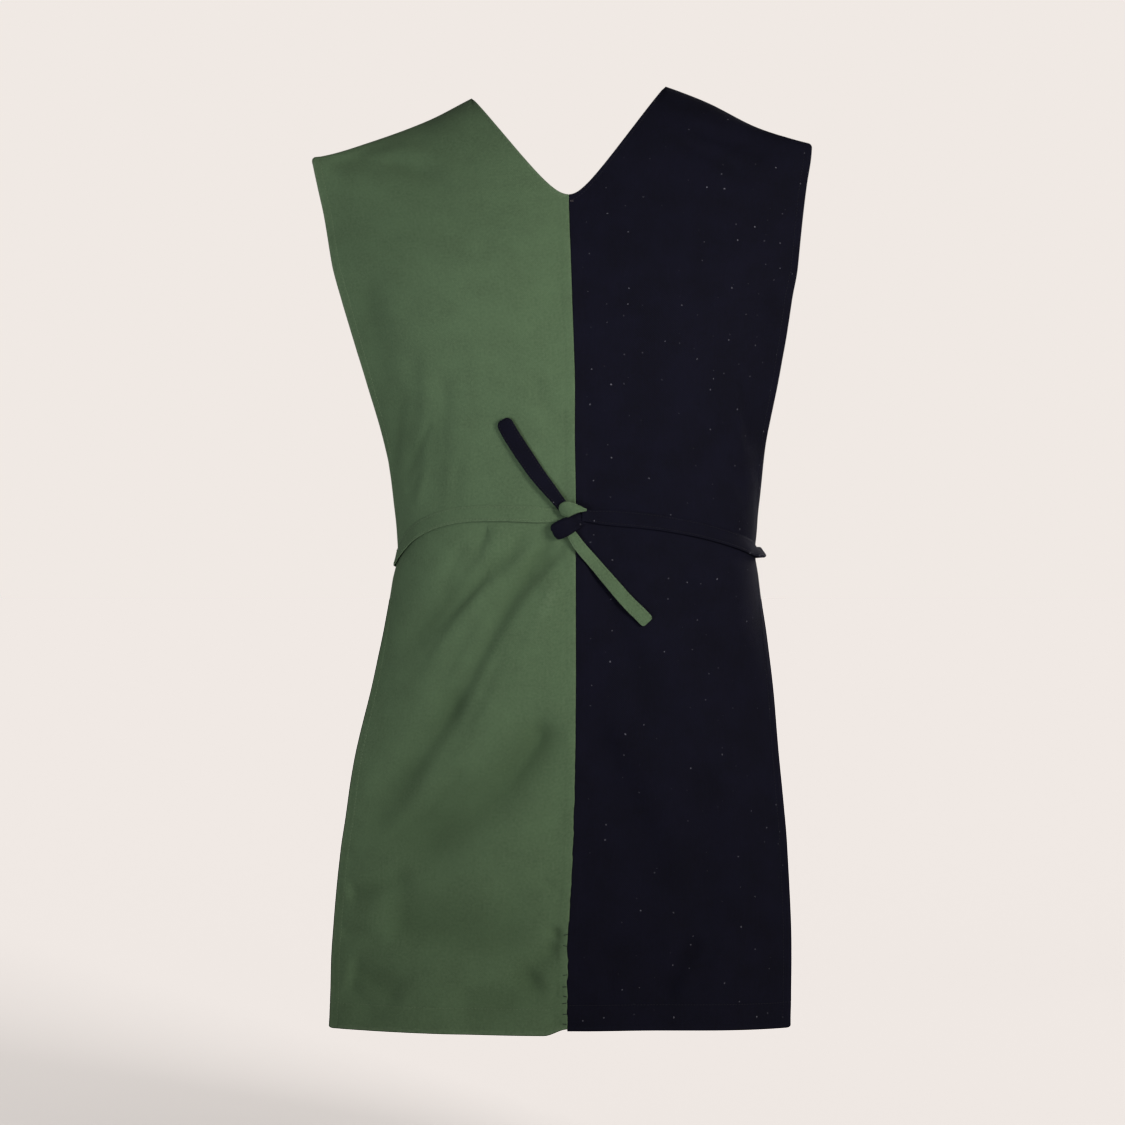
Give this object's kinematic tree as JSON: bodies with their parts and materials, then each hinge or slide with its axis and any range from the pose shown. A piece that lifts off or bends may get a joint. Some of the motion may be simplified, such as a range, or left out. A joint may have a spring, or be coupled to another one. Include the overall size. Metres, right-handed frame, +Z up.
{
  "type": "tabard",
  "caption": "Sleeveless two-colour cloth tabard with a V neck, open sides and a knotted waist tie, in its worn hollow form.",
  "frame": {"origin": "between the two neck points, where the wearer's shoulders hold the garment", "axes": "+Z up, the front faces -Y, +X is the wearer's left"},
  "size_m": [0.528, 0.2475, 0.9861],
  "materials": {
    "green_twill": "matt cotton twill, moss green, lightly brushed",
    "black_twill": "matt cotton twill, black with a faint blue cast"
  },
  "bodies": {
    "root": {"front_right": "green_twill", "back_right": "green_twill", "tie_green": "green_twill", "knot_green": "green_twill", "tail_green": "green_twill", "front_left": "black_twill", "back_left": "black_twill", "tie_black": "black_twill", "knot_black": "black_twill", "tail_black": "black_twill"}
  },
  "joints": []
}
